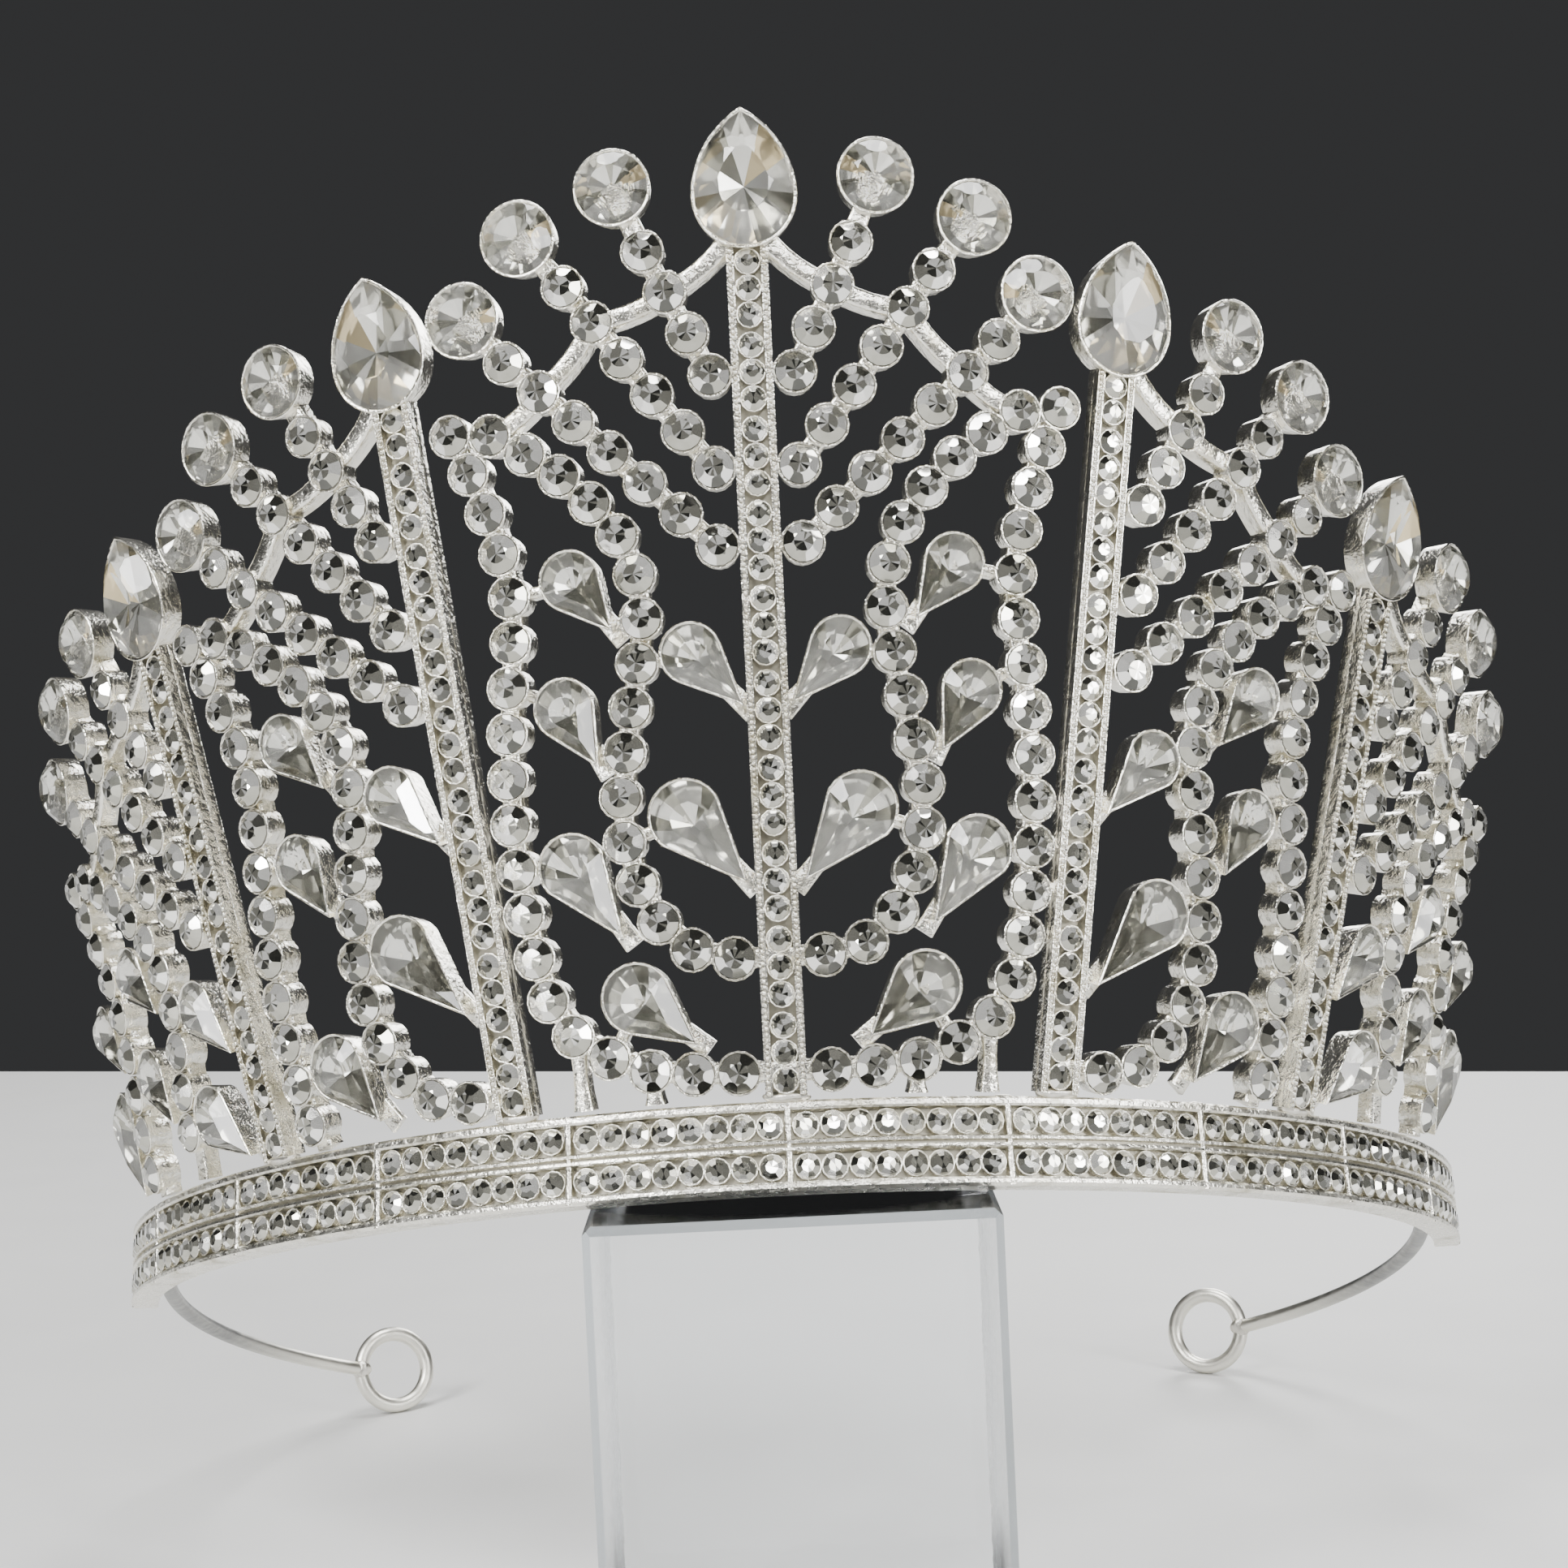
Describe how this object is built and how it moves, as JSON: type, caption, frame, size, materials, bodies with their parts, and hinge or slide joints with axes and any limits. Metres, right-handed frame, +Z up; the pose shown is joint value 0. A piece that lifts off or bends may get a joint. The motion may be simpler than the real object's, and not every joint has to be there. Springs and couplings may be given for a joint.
{
  "type": "pageant crown on a clear display block",
  "caption": "Fan-shaped silver pageant crown of soldered castings set with clear stones, with wire eyelets behind, leaning back on a plain clear display block.",
  "frame": {"origin": "on the floor, below the middle of the whole object's box: on the mirror plane, halfway between the front of the block and the back of the eyelets", "axes": "+Z up, -Y towards the crown's front, +X towards the viewer's right; the left side is the mirror of the right side. Standing on the floor as displayed, with the crown leaned back"},
  "size_m": [0.1648, 0.124, 0.1531],
  "materials": {
    "silver": "polished cast silver, a little uneven, darker in the recesses",
    "wire": "drawn wire, dull",
    "stone": "cut clear stone with a bright foil back",
    "clear_block": "clear polished block"
  },
  "bodies": {
    "root": {"band": "silver", "wire_left": "wire", "wire_right": "wire", "display_block": "clear_block", "center_casting": "silver", "inner_left_casting": "silver", "inner_right_casting": "silver", "end_left_casting": "silver", "end_right_casting": "silver", "center_pear": "stone", "inner_left_pear": "stone", "inner_right_pear": "stone", "end_left_pear": "stone", "end_right_pear": "stone", "center_left_tip_1": "stone", "center_left_tip_2": "stone", "center_left_tip_3": "stone", "center_right_tip_1": "stone", "center_right_tip_2": "stone", "center_right_tip_3": "stone", "inner_left_tip_1": "stone", "inner_left_tip_2": "stone", "inner_left_tip_3": "stone", "inner_right_tip_1": "stone", "inner_right_tip_2": "stone", "inner_right_tip_3": "stone", "end_left_tip_1": "stone", "end_left_tip_2": "stone", "end_left_tip_3": "stone", "end_right_tip_1": "stone", "end_right_tip_2": "stone", "end_right_tip_3": "stone", "center_left_stones": "stone", "center_right_stones": "stone", "inner_left_stones": "stone", "inner_right_stones": "stone", "center_leaves": "stone", "inner_left_leaves": "stone", "inner_right_leaves": "stone", "end_left_leaves": "stone", "end_right_leaves": "stone"}
  },
  "joints": []
}
